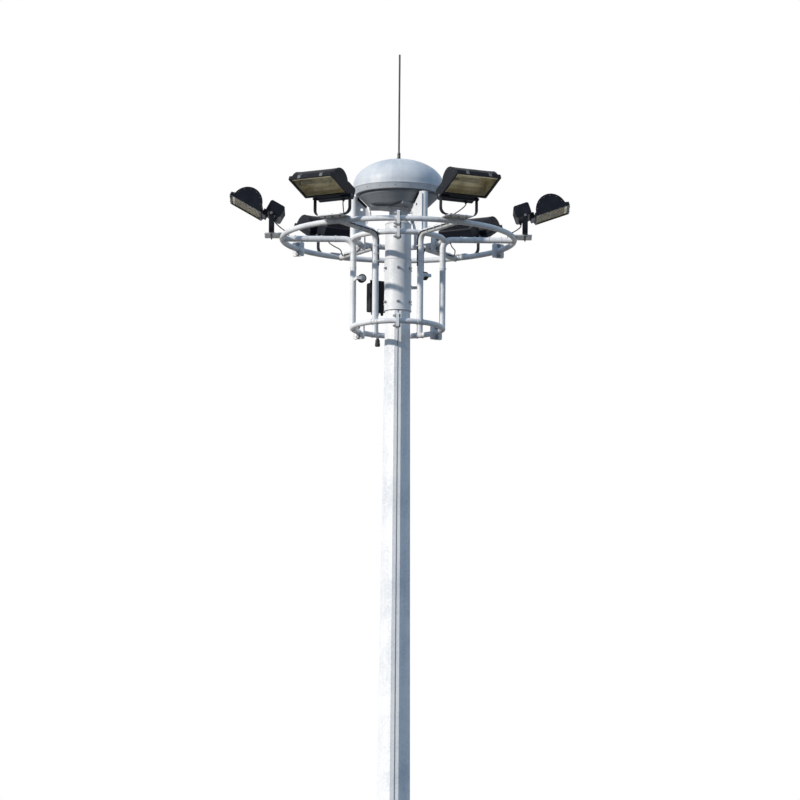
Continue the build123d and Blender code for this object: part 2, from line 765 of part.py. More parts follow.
for number, (angle, tilt) in enumerate(zip(lamp_angles, lamp_tilts), start=1):
    lamp = lamp_plane(angle, tilt)
    glass_side = Plane(
        origin=lamp.from_local_coords((frame_middle, frame_foot, 0)),
        x_dir=lamp.x_dir,
        z_dir=lamp.y_dir,
    )
    opening_length = lamp_frame_length - 2 * lamp_frame_border
    opening_depth = lamp_frame_depth - 2 * lamp_frame_border
    groove_length = opening_length + 2 * lamp_glass_lap
    groove_depth = opening_depth + 2 * lamp_glass_lap

    with BuildPart() as lamp_housing:
        with BuildSketch(lamp):
            with BuildLine():
                barrel_outline(0)
            make_face()
        extrude(amount=lamp_frame_length / 2 - lamp_frame_lip, both=True)
        with BuildSketch(glass_side):
            RectangleRounded(lamp_frame_depth, lamp_frame_length, lamp_frame_corner)
        extrude(amount=lamp_frame_height)
        with BuildSketch(lamp):
            with BuildLine():
                barrel_outline(lamp_sheet)
            make_face()
        extrude(amount=lamp_frame_length / 2 - lamp_frame_lip - lamp_sheet, both=True, mode=Mode.SUBTRACT)
        with BuildSketch(glass_side):
            RectangleRounded(opening_depth, opening_length, lamp_frame_corner - lamp_sheet)
        extrude(amount=lamp_frame_height - lamp_sheet, mode=Mode.SUBTRACT)
        with BuildSketch(glass_side.offset(lamp_glass_recess)):
            RectangleRounded(groove_depth, groove_length, lamp_frame_corner)
        extrude(amount=lamp_glass_thickness + 2 * fit_gap, mode=Mode.SUBTRACT)
    finish(lamp_housing, f"lamp_housing_{number}")

    with BuildPart() as lamp_glass:
        with BuildSketch(glass_side.offset(lamp_glass_recess + fit_gap)):
            RectangleRounded(groove_depth - 2 * fit_gap, groove_length - 2 * fit_gap, lamp_frame_corner)
        extrude(amount=lamp_glass_thickness)
    finish(lamp_glass, f"lamp_glass_{number}")

    with BuildPart() as lamp_gear_box:
        with BuildSketch(lamp):
            with Locations(((gear_box_start + gear_box_end) / 2, gear_box_height / 2)):
                RectangleRounded(gear_box_end - gear_box_start, gear_box_height, gear_box_corner)
        extrude(amount=gear_box_half, both=True)
        neck_end = lamp_frame_start - fit_gap
        neck_foot = frame_foot + neck_lift
        with BuildSketch(lamp):
            with Locations(((gear_box_end - neck_lap + neck_end) / 2, (neck_foot + neck_lap) / 2)):
                Rectangle(neck_end - gear_box_end + neck_lap, neck_lap - neck_foot)
        extrude(amount=gear_box_half * neck_share, both=True)
        with BuildSketch(lamp):
            Circle(pivot_boss_radius)
            with Locations((pivot_pad_length / 2, pivot_boss_radius / 2)):
                Rectangle(pivot_pad_length, pivot_boss_radius)
        extrude(amount=gear_box_half + gear_box_side_gap - side_gap, both=True)
        with BuildSketch(lamp):
            Circle(pivot_pin_radius)
        extrude(amount=stirrup_width / 2 + pivot_head_width, both=True)
        for side in (-1, 1):
            with BuildSketch(lamp.offset(side * (stirrup_width / 2 + side_gap))):
                Circle(pivot_head_radius)
            extrude(amount=side * pivot_head_width)
    finish(lamp_gear_box, f"lamp_gear_box_{number}")
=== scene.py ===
import bpy
import bmesh
import json
from math import atan2, cos, degrees, pi, radians, sin, sqrt, tau
from mathutils import Matrix, Vector


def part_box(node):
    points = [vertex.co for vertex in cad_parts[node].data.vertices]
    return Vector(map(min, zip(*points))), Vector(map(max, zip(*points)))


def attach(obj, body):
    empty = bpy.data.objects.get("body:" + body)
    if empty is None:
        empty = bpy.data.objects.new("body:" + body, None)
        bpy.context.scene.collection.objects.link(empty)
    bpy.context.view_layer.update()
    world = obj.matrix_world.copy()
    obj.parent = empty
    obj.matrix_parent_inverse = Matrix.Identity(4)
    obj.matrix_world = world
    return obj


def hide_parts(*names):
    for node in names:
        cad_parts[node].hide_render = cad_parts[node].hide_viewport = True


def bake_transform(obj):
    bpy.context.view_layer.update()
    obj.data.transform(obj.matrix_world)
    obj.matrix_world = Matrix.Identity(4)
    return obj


# High mast floodlight tower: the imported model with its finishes, plus the bolts, welds, ropes,
# reflectors and leads. Metres, +Z up, origin at the centre of the base flange's underside.

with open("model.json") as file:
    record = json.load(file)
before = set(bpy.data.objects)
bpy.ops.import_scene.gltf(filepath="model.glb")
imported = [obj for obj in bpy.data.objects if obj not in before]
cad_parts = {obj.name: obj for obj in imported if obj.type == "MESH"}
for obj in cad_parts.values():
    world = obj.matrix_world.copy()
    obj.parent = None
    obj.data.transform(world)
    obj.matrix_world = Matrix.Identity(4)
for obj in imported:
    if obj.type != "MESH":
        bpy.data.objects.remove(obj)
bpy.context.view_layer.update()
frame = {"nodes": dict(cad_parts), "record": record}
nodes = frame["nodes"]
print("frame loaded:", len(nodes), "nodes")

ringLow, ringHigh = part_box("outer_ring_arc_1")
ringLevel = (ringLow.z + ringHigh.z) / 2  # the joint plates stand evenly above and below the ring


# A shader socket that Python expressions can work on: each operator adds its Math node
class Wire:
    def __init__(self, tree, socket):
        self.tree = tree
        self.socket = socket

    def make(self, kind, settings=None, inputs=None, output=0):
        added = self.tree.nodes.new(kind)
        for key, value in (settings or {}).items():
            if key == "stops":
                fillRamp(added.color_ramp, value)
            else:
                setattr(added, key, value)
        for key, value in (inputs or {}).items():
            if isinstance(value, Wire):
                self.tree.links.new(value.socket, added.inputs[key])
            else:
                added.inputs[key].default_value = value
        return Wire(self.tree, added.outputs[output])

    def math(self, operation, first, second):
        return self.make("ShaderNodeMath", {"operation": operation}, {0: first, 1: second})

    def __add__(self, other):
        return self.math("ADD", self, other)

    __radd__ = __add__

    def __sub__(self, other):
        return self.math("SUBTRACT", self, other)

    def __rsub__(self, other):
        return self.math("SUBTRACT", other, self)

    def __mul__(self, other):
        return self.math("MULTIPLY", self, other)

    __rmul__ = __mul__

    def clipped(self):
        return self.make("ShaderNodeClamp", None, {0: self})


def fillRamp(ramp, stops):
    while len(ramp.elements) < len(stops):
        ramp.elements.new(0.5)
    for element, (position, colour) in zip(ramp.elements, stops):
        element.position = position
        element.color = colour


def grey(value):
    return (value, value, value, 1)


def dimmed(colour, brightness):
    return tuple(part * brightness for part in colour[:3]) + (1,)


def newMaterial(name, colour, roughness, metallic=0.0, specular=0.5, alpha=1.0):
    material = bpy.data.materials.new(name)
    material.use_nodes = True
    material.diffuse_color = colour
    tree = material.node_tree
    shader = tree.nodes["Principled BSDF"]
    uniform = {"Base Color": colour, "Roughness": roughness, "Metallic": metallic, "Alpha": alpha}
    uniform["Specular IOR Level"] = specular
    for socket, value in uniform.items():
        shader.inputs[socket].default_value = value
    here = Wire(tree, None).make("ShaderNodeTexCoord", output=3)
    return material, here, shader


def plug(wire, shader, socket):
    wire.tree.links.new(wire.socket, shader.inputs[socket])


def noise(here, scale, detail=4.0, stretch=None):
    place = here
    if stretch:
        place = here.make("ShaderNodeVectorMath", {"operation": "MULTIPLY"}, {0: here, 1: stretch})
    inputs = {"Vector": place, "Scale": scale, "Detail": detail, "Roughness": 0.55}
    return here.make("ShaderNodeTexNoise", None, inputs)


def blendColour(factor, first, second):
    inputs = {0: factor, 6: first, 7: second}
    return factor.make("ShaderNodeMix", {"data_type": "RGBA"}, inputs, output=2)


def bump(height, strength, distance):
    inputs = {"Strength": strength, "Distance": distance, "Height": height}
    return height.make("ShaderNodeBump", None, inputs)


def smoothStep(wire, low, high):
    inputs = {"Value": wire, "From Min": low, "From Max": high}
    return wire.make("ShaderNodeMapRange", {"interpolation_type": "SMOOTHSTEP"}, inputs)


# Hot-dip galvanised steel: spangle, cloudy dulling and faint runs down the steel
zincLook = {
    "bright": (0.74, 0.75, 0.77, 1), "dull": (0.52, 0.55, 0.6, 1), "stain": (0.34, 0.33, 0.32, 1),
    "shine": (0.03, 0.25), "roughness": 0.62, "spangle": 90.0, "clouds": 3.1,
    "runs": 1.6, "runStretch": (14, 14, 0.8), "toneRange": (0.12, 0.62), "spots": 38,
    "spotRange": (0.68, 0.84), "grain": 160,
}


def makeZinc(name, brightness=1.0, streaks=0.5, spangle=zincLook["spangle"]):
    material, here, shader = newMaterial(name, zincLook["bright"], 0.5, *zincLook["shine"])
    inputs = {"Vector": here, "Scale": spangle}
    cells = here.make("ShaderNodeTexVoronoi", {"feature": "F1"}, inputs, output=1)
    crystal = cells.make("ShaderNodeSeparateColor", None, {0: cells})
    clouds = noise(here, zincLook["clouds"], detail=6)
    runs = noise(here, zincLook["runs"], detail=5, stretch=zincLook["runStretch"])
    shade = (clouds * 0.75 + crystal * 0.16 + (runs - 0.5) * streaks).clipped()
    tone = smoothStep(shade, *zincLook["toneRange"])
    base = blendColour(tone, dimmed(zincLook["dull"], brightness), dimmed(zincLook["bright"], brightness))
    spots = smoothStep(noise(here, zincLook["spots"], detail=3), *zincLook["spotRange"]) * 0.3
    plug(blendColour(spots, base, zincLook["stain"]), shader, "Base Color")
    plug(zincLook["roughness"] - tone * 0.2 + spots * 0.3, shader, "Roughness")
    plug(bump(crystal * 0.3 + noise(here, zincLook["grain"]), 0.12, 0.0006), shader, "Normal")
    return material


# Spun aluminium cap: rings left by the spinning tool, rain marks from the crown down
capLook = {
    "bright": (0.62, 0.64, 0.67, 1), "dull": (0.42, 0.46, 0.52, 1), "shine": (0.04, 0.3),
    "roughness": 0.6, "rain": 7, "clouds": 4, "ringStretch": (0.4, 0.4, 120), "toneRange": (0.3, 0.74),
}


def makeSpunMetal(name, brightness=1.0):
    material, here, shader = newMaterial(name, capLook["bright"], 0.45, *capLook["shine"])
    turned = here.make("ShaderNodeTexGradient", {"gradient_type": "RADIAL"}, {"Vector": here})
    level = here.make("ShaderNodeSeparateXYZ", None, {0: here}, output=2)
    across = here.make("ShaderNodeCombineXYZ", None, {0: turned * 6.28, 1: 0.0, 2: level * 0.6})
    rain = noise(across, capLook["rain"], detail=6)
    clouds = noise(here, capLook["clouds"], detail=5)
    rings = noise(here, 1.0, detail=4, stretch=capLook["ringStretch"])
    tone = smoothStep(rain * 0.25 + clouds * 0.55 + rings * 0.25, *capLook["toneRange"])
    dull, bright = dimmed(capLook["dull"], brightness), dimmed(capLook["bright"], brightness)
    plug(blendColour(tone, dull, bright), shader, "Base Color")
    plug(capLook["roughness"] - tone * 0.15, shader, "Roughness")
    plug(bump(rings, 0.15, 0.0008), shader, "Normal")
    return material


# Paint, rubber and nylon: one colour with dust that lies in patches, over a fine grain
coatLook = {"specular": 0.09, "dust": 9, "dustRange": (0.48, 0.74), "grain": 420.0}


def makeCoat(name, colour, worn, roughness=0.42):
    material, here, shader = newMaterial(name, colour, roughness, specular=coatLook["specular"])
    dust = smoothStep(noise(here, coatLook["dust"], detail=6), *coatLook["dustRange"])
    plug(blendColour(dust * 0.5, colour, worn), shader, "Base Color")
    plug(dust * 0.22 + roughness, shader, "Roughness")
    plug(bump(noise(here, coatLook["grain"], detail=2), 0.25, 0.0004), shader, "Normal")
    return material


# Glass under a thin film of dirt: body is how much of what lies behind it hides
glassLook = {"specular": 0.25, "film": 14, "filmRange": (0.5, 0.85)}


def makeGlass(name, colour, body):
    shine = {"specular": glassLook["specular"], "alpha": body + 0.04}
    material, here, shader = newMaterial(name, colour, 0.08, **shine)
    film = smoothStep(noise(here, glassLook["film"], detail=5), *glassLook["filmRange"])
    plug(film * 0.18 + 0.06, shader, "Roughness")
    plug(film * 0.1 + body, shader, "Alpha")
    return material


# Reflector sheet: anodised aluminium that has yellowed and gathered dust behind the glass
sheetLook = {
    "clean": (0.58, 0.52, 0.34, 1), "dusty": (0.36, 0.31, 0.17, 1), "metallic": 0.8, "dust": 7,
    "dustRange": (0.35, 0.7), "grain": 60,
}


def makeReflector(name):
    material, here, shader = newMaterial(name, sheetLook["clean"], 0.35, sheetLook["metallic"])
    dust = smoothStep(noise(here, sheetLook["dust"], detail=6), *sheetLook["dustRange"])
    plug(blendColour(dust, sheetLook["clean"], sheetLook["dusty"]), shader, "Base Color")
    plug(dust * 0.3 + 0.28, shader, "Roughness")
    plug(bump(noise(here, sheetLook["grain"], detail=2), 0.1, 0.0006), shader, "Normal")
    return material


# Zinc takes its brightness, streaks and spangle; coats their colour, dusty colour and roughness
finishes = {
    "galvanised": makeZinc("galvanisedSteel"),
    "mastShell": makeZinc("mastShellZinc", 1.04, 0.35, 60.0),
    "cap_metal": makeSpunMetal("spunCapMetal"),
    # the pan's spun metal at 0.4 brightness: painted shade under the head's cap
    "panPaintedShade": makeSpunMetal("panPaintedShade", 0.4),
    "rod_metal": makeCoat("weatheredRod", (0.1, 0.095, 0.09, 1), (0.22, 0.19, 0.16, 1), 0.6),
    "rope_steel": makeZinc("ropeWire", 0.75, 0.2, 300.0),
    "pulley_plastic": makeCoat("pulleyNylon", (0.12, 0.12, 0.13, 1), grey(0.2), 0.5),
    "lamp_paint": makeCoat("blackPowderCoat", (0.007, 0.009, 0.015, 1), (0.022, 0.025, 0.034, 1)),
    "lamp_glass": makeGlass("floodGlass", (0.28, 0.27, 0.2, 1), 0.14),
    "roller_rubber": makeCoat("rollerRubber", (0.025, 0.025, 0.026, 1), (0.09, 0.085, 0.08, 1), 0.7),
    "box_plastic": makeCoat("boxPlastic", (0.02, 0.02, 0.022, 1), grey(0.06), 0.5),
    "lead_sheath": makeCoat("leadSheath", (0.03, 0.03, 0.032, 1), grey(0.08), 0.55),
    "boltZinc": makeZinc("boltZinc", 0.45, 0.0, 400.0),
    "weldMetal": makeZinc("weldMetal", 0.86, 0.0, 260.0),
    "strapSteel": makeZinc("strapSteel", 0.9, 0.0, 500.0),
    "clipSteel": makeZinc("clipSteel", 0.2, 0.0, 500.0),
    "reflectorSheet": makeReflector("reflectorSheet"),
    "lampGlassware": makeGlass("lampGlassware", (0.62, 0.59, 0.48, 1), 0.3),
    "ceramic": makeCoat("ceramicHolder", (0.75, 0.73, 0.68, 1), (0.5, 0.47, 0.42, 1), 0.5),
    "glandNylon": makeCoat("glandNylon", (0.05, 0.05, 0.055, 1), grey(0.12), 0.5),
    # a near-black strip along the docking fins' slope where it meets the pan
    "blackFinStrip": makeCoat("blackFinStrip", (0.015, 0.015, 0.016, 1), grey(0.05), 0.75),
    "rollerHub": makeCoat("rollerHub", (0.55, 0.54, 0.5, 1), (0.35, 0.33, 0.3, 1), 0.5),
}
print("finishes made:", len(finishes))

# The mast's shell differs from what else is made of its slot's metal; the pan's spun metal is dimmed to 0.4
# as painted shade under the head
ownFinish = {"lower_section": "mastShell", "upper_section": "mastShell", "head_pan": "panPaintedShade"}
slotOf = {entry["node"]: entry["material_slot"] for entry in frame["record"]["subparts"]}
for label, item in nodes.items():
    item.data.materials.clear()
    item.data.materials.append(finishes[ownFinish.get(label, slotOf[label])])
print("nodes finished")


# Directions and places round the mast, for an angle in degrees
upward = Vector((0, 0, 1))


def outward(angle):
    return Vector((cos(radians(angle)), sin(radians(angle)), 0))


def sideways(angle):
    return upward.cross(outward(angle))


def placeAt(origin, first, second, third):
    place = Matrix((first, second, third)).transposed().to_4x4()
    place.translation = origin
    return place


def spot(angle, radius, level):
    origin = outward(angle) * radius + upward * level
    return placeAt(origin, outward(angle), sideways(angle), upward)


def ringPoint(angle, radius, level):
    return spot(angle, radius, ringLevel + level).translation


# A place whose z axis points along the given one
def facing(point, axis, up=upward):
    axis = axis.normalized()
    first = up.cross(axis)
    if first.length < 1e-4:
        first = Vector((1, 0, 0)).cross(axis)
    first.normalize()
    return placeAt(point, first, axis.cross(first), axis)


def circle(centre, first, second, radius, count=28):
    points = []
    for step in range(count):
        turn = tau * step / count
        points.append(centre + first * (radius * cos(turn)) + second * (radius * sin(turn)))
    return points


def roundedOutline(width, height, corner, steps=5):
    points = []
    for sideX, sideY, start in ((1, 1, 0), (-1, 1, 90), (-1, -1, 180), (1, -1, 270)):
        for step in range(steps + 1):
            turn = radians(start + 90 * step / steps)
            x = sideX * (width / 2 - corner) + corner * cos(turn)
            y = sideY * (height / 2 - corner) + corner * sin(turn)
            points.append((x, y))
    return points


# Shapes: every piece is built in one bmesh, by the adders below
def addLoft(shape, loops, closed=False, capped=True):
    rows = [[shape.verts.new(point) for point in loop] for loop in loops]
    pairs = list(zip(rows, rows[1:]))
    if closed:
        pairs.append((rows[-1], rows[0]))
    for low, high in pairs:
        count = len(low)
        for step in range(count):
            after = (step + 1) % count
            shape.faces.new((low[step], low[after], high[after], high[step]))
    if capped and not closed:
        shape.faces.new(list(reversed(rows[0])))
        shape.faces.new(rows[-1])


# A turned form: its profile is a list of radius and height
def addTurned(shape, place, profile, segments=24):
    loops = []
    for radius, height in profile:
        reach = max(radius, 1e-5)  # a ring can't shrink to a point
        loop = circle(upward * height, Vector((1, 0, 0)), Vector((0, 1, 0)), reach, segments)
        loops.append([place @ point for point in loop])
    addLoft(shape, loops)


# Several turned forms in a row, each with its number of sides: six for a hexagon
def addStack(shape, place, parts, size=1.0):
    for segments, profile in parts:
        addTurned(shape, place, [(radius * size, height * size) for radius, height in profile], segments)


def addTube(shape, points, radius, sides=10, closed=False):
    points = [Vector(point) for point in points]
    count = len(points)
    loops = []
    normal = None
    for index, point in enumerate(points):
        before = points[index - 1] if index or closed else point
        after = points[(index + 1) % count] if index < count - 1 or closed else point
        along = (after - before).normalized()
        if normal is None:
            normal = along.orthogonal().normalized()
        normal = (normal - along * normal.dot(along)).normalized()
        loops.append(circle(point, normal, along.cross(normal), radius, sides))
    addLoft(shape, loops, closed=closed)


# A rounded plate, its edges drawn in by the bevel
def addSlab(shape, place, size, depth, bevel):
    outline = roundedOutline(*size)
    middle = Vector((sum(x for x, y in outline), sum(y for x, y in outline))) / len(outline)
    drawn = []
    for x, y in outline:
        inward = (middle - Vector((x, y))).normalized() * bevel
        drawn.append((x + inward.x, y + inward.y))
    rows = ((drawn, 0), (outline, bevel), (outline, depth - bevel), (drawn, depth))
    addLoft(shape, [[place @ Vector((x, y, level)) for x, y in row] for row, level in rows])


def addObject(name, data):
    item = bpy.data.objects.new(name, data)
    bpy.context.scene.collection.objects.link(item)
    return item


def addPiece(name, shape, finish, body, sharp=35):
    bmesh.ops.remove_doubles(shape, verts=shape.verts, dist=1e-6)
    bmesh.ops.recalc_face_normals(shape, faces=shape.faces)
    mesh = bpy.data.meshes.new(name)
    shape.to_mesh(mesh)
    shape.free()
    mesh.shade_smooth()
    mesh.set_sharp_from_angle(angle=radians(sharp))
    mesh.materials.append(finishes[finish])
    item = addObject(name, mesh)
    if body:
        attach(item, body)
    return item


# Fasteners and glands, as shares of their nominal size
washer = (20, [(1.1, 0), (1.1, 0.14), (0, 0.14)])
fasteners = {
    "bolt": [washer, (6, [(0.92, 0.14), (0.92, 0.701), (0.7912, 0.8)])],
    "nut": [washer, (6, [(0.828, 0.14), (0.92, 0.22), (0.92, 0.844), (0.7912, 0.94)])],
    "screw": [(10, [(1, 0), (1, 0.35), (0.62, 0.75), (0.2, 0.8)])],
    "gland": [
        (6, [(1.25, 0), (1.25, 0.7)]),
        (16, [(1, 0.7), (1, 1.1), (1.12, 1.1), (1.12, 2.0), (0.95, 2.4), (0.62, 2.7)]),
    ],
}


def fasten(shape, kind, point, axis, size):
    addStack(shape, facing(point, axis), fasteners[kind], size)


# Hex bolt through a stack: head and washer on one side, nut and thread end on the other
def addBolt(shape, point, axis, size, grip, tail=0.012):
    fasten(shape, "bolt", point, axis, size)
    far = point - axis.normalized() * grip
    fasten(shape, "nut", far, -axis, size)
    end = size * 0.94 + tail
    thread = [(size * 0.5, size * 0.14), (size * 0.5, end), (size * 0.4, end + 0.002)]
    addTurned(shape, facing(far, -axis), thread, 14)


# The smooth line of a lead: a spline with the route's points as its control points
def splineRoute(points):
    curve = bpy.data.curves.new("routeLine", "CURVE")
    curve.dimensions = "3D"
    line = curve.splines.new("NURBS")
    line.points.add(len(points) - 1)
    for held, point in zip(line.points, points):
        held.co = (*point, 1)
    line.order_u = 3
    line.use_endpoint_u = True
    line.resolution_u = 10
    holder = bpy.data.objects.new("routeLine", curve)
    mesh = bpy.data.meshes.new_from_object(holder)
    route = [vertex.co.copy() for vertex in mesh.vertices]
    bpy.data.meshes.remove(mesh)
    bpy.data.objects.remove(holder)
    bpy.data.curves.remove(curve)
    return route


def routeLength(points):
    return sum((after - before).length for before, after in zip(points, points[1:]))


# Angles round the ring and sizes of its tubes, which several pieces share
ringSpots = {"joints": (30, 150, 270), "spokes": (0, 60, 120, 180, 240, 300), "docks": (60, 180, 300)}
tubes = {"outerRing": 1.148, "cageRing": 0.442, "cageHeight": 0.893, "ringTube": 0.027, "postTube": 0.03015}
ringRows = ((tubes["outerRing"], 0), (tubes["cageRing"], 0), (tubes["cageRing"], -tubes["cageHeight"]))

# Bolts that hold the ring arcs together, one above and one below the tube at each joint
splice = {"size": 0.02, "lift": 0.05, "plate": 0.014, "gap": 0.0003}
shape = bmesh.new()
for angle in ringSpots["joints"]:
    for radius, level in ringRows:
        for lift in (-splice["lift"], splice["lift"]):
            grip = 2 * splice["plate"] + splice["gap"]
            point = ringPoint(angle, radius, level + lift) + sideways(angle) * grip / 2
            addBolt(shape, point, sideways(angle), splice["size"], grip)
addPiece("carriageBolts", shape, "boltZinc", "carriage", 32)
print("carriage bolts placed")


# Weld beads round the ring at every post and joint plate, and round the end of every spoke
weld = {"bead": 0.0042, "proud": 0.001, "postGap": 0.001, "plateGap": 0.0022}
saddle = {"start": 1.112, "proud": 0.0004, "points": 40}


def addBead(shape, points, closed=True):
    addTube(shape, points, weld["bead"], sides=7, closed=closed)


def addCollar(shape, angle, radius, level, away):
    turned = angle + degrees(away / radius)
    centre = ringPoint(turned, radius, level)
    addBead(shape, circle(centre, outward(turned), upward, tubes["ringTube"] + weld["proud"], 26))


shape = bmesh.new()
saddles = bmesh.new()
for angle in ringSpots["spokes"]:
    rim = []
    for step in range(saddle["points"]):
        turn = tau * step / saddle["points"]
        lift = tubes["postTube"] * sin(turn)
        across = tubes["postTube"] * cos(turn)
        reach = sqrt(max(tubes["ringTube"] ** 2 - lift**2, 0))
        ringAway = sqrt(tubes["outerRing"] ** 2 - across**2) - reach
        rim.append(ringPoint(angle, ringAway, lift) + sideways(angle) * across)
    start = ringPoint(angle, saddle["start"], 0)
    girth = tubes["postTube"] + saddle["proud"]
    base = circle(start, sideways(angle), upward, girth, saddle["points"])
    addLoft(saddles, [base, rim], capped=False)
    addBead(shape, rim)
    for radius, level in ringRows[1:]:
        for side in (-1, 1):
            addCollar(shape, angle, radius, level, side * (tubes["postTube"] + weld["postGap"]))
for angle in ringSpots["joints"]:
    for radius, level in ringRows:
        for side in (-1, 1):
            addCollar(shape, angle, radius, level, side * (splice["plate"] + weld["plateGap"]))
addPiece("carriageWelds", shape, "weldMetal", "carriage", 60)
addPiece("spokeSaddles", saddles, "galvanised", "carriage", 60)
print("welds laid")


# Floodlights: each has its own frame, with x along the glass, y sideways and z up through its back
flood = {
    "glassLevel": -0.044, "frameStart": 0.092, "frameEnd": 0.447,
    "middle": 0.259, "reach": 0.152, "rise": 0.168, "lowTilt": -20,
}
lamps = []
for joint in frame["record"]["behaviour"]["joints"]:
    if joint["name"].startswith("lamp"):
        pivot = Vector(joint["pos_m"])
        tilt = radians(flood["lowTilt"] - joint["range_deg"][0])
        away = Vector((pivot.x, pivot.y, 0)).normalized()
        left = upward.cross(away)
        along = away * cos(tilt) + upward * sin(tilt)
        place = placeAt(pivot, along, left, along.cross(left))
        angle = degrees(atan2(pivot.y, pivot.x))
        body = joint["child"]
        lamps.append({"body": body, "number": body[-1], "place": place, "angle": angle})
print("floodlights found:", len(lamps))


def lampPoint(lamp, along, side, up):
    return lamp["place"] @ Vector((along, side, up))


def lampWay(lamp, along, side, up):
    return lamp["place"].to_3x3() @ Vector((along, side, up))


def lampLine(lamp, profile, side):
    return [lampPoint(lamp, x, side, z) for x, z in profile]


# Part of an arch over the barrel, its reach and rise larger or smaller than the barrel's
def arch(reach, rise, start, end, count):
    points = []
    for step in range(count + 1):
        turn = radians(start + (end - start) * step / count)
        x = flood["middle"] + reach * cos(turn)
        points.append((x, flood["glassLevel"] + rise * sin(turn)))
    return points


# Inside: a faceted trough with end plates, turned out behind the glass, and the lamp in its holder
trough = {
    "reach": 0.14, "rise": 0.15, "lift": 0.004, "facets": 11, "half": 0.226, "lip": (0.114, 0.425),
    "plateShare": 0.985,
}
bulb = {
    "along": 0.25, "up": 0.03, "half": 0.12,
    "glass": [
        (0, 0), (0.014, 0), (0.016, 0.02), (0.023, 0.045), (0.023, 0.215), (0.0184, 0.232), (0.006, 0.24),
    ],
    "holder": [(0.024, 0), (0.026, 0.004), (0.026, 0.05), (0.022, 0.056), (0.018, 0.09), (0.016, 0.105)],
    "holderBack": 0.1,
}
for lamp in lamps:
    shape = bmesh.new()
    curve = arch(trough["reach"], trough["rise"], 0, 180, trough["facets"])
    curve = [(x, z + trough["lift"]) for x, z in curve]
    lipIn, lipOut = trough["lip"]
    profile = [(lipOut, curve[0][1])] + curve + [(lipIn, curve[0][1])]
    rows = []
    for side in (-1, 1):
        line = lampLine(lamp, profile, side * trough["half"])
        rows.append([shape.verts.new(point) for point in line])
    for step in range(len(profile) - 1):
        shape.faces.new((rows[0][step], rows[0][step + 1], rows[1][step + 1], rows[1][step]))
    for side in (-1, 1):
        plate = lampLine(lamp, curve, side * trough["half"] * trough["plateShare"])
        shape.faces.new([shape.verts.new(point) for point in plate])
    addPiece("lampReflector_" + lamp["number"], shape, "reflectorSheet", lamp["body"], 12)

    axis = lampWay(lamp, 0, 1, 0)
    base = lampPoint(lamp, bulb["along"], -bulb["half"], bulb["up"])
    shape = bmesh.new()
    addTurned(shape, facing(base, axis), bulb["glass"])
    addPiece("lampBulb_" + lamp["number"], shape, "lampGlassware", lamp["body"], 50)
    shape = bmesh.new()
    addTurned(shape, facing(base - axis * bulb["holderBack"], axis), bulb["holder"])
    addPiece("lampHolder_" + lamp["number"], shape, "ceramic", lamp["body"], 40)
print("reflectors and bulbs fitted")


# Outside: rims, seams and screws on the barrel's ends, hinges, spring clips and pivot bolts
barrel = {
    "screwSide": 0.2395, "screw": 0.0042, "rimSide": 0.2375, "rim": 0.0028, "seamSide": 0.205,
    "seam": 0.0014,
}
hinge = {"along": -0.005, "side": 0.165, "up": 0.006, "half": 0.022}
hinge["barrel"] = [(0.0065, 0), (0.0065, 0.044)]
clip = {
    "side": 0.125, "level": -0.034, "plate": ((0.034, 0.036, 0.004, 3), 0.0035, 0.0008), "wire": 0.0018,
    # one half of the wire loop, from the plate back over the barrel
    "bends": ((0.002, -0.012, -0.018), (0.004, -0.012, 0), (-0.012, -0.011, 0.008), (-0.03, -0.01, 0.012)),
}
pivotBolt = {
    "side": 0.213,
    "parts": [
        (20, [(0.0155, 0), (0.0155, 0.0015), (0.0138, 0.0015)]),
        (6, [(0.0138, 0.0015), (0.0138, 0.009), (0.012, 0.0105)]),
    ],
}
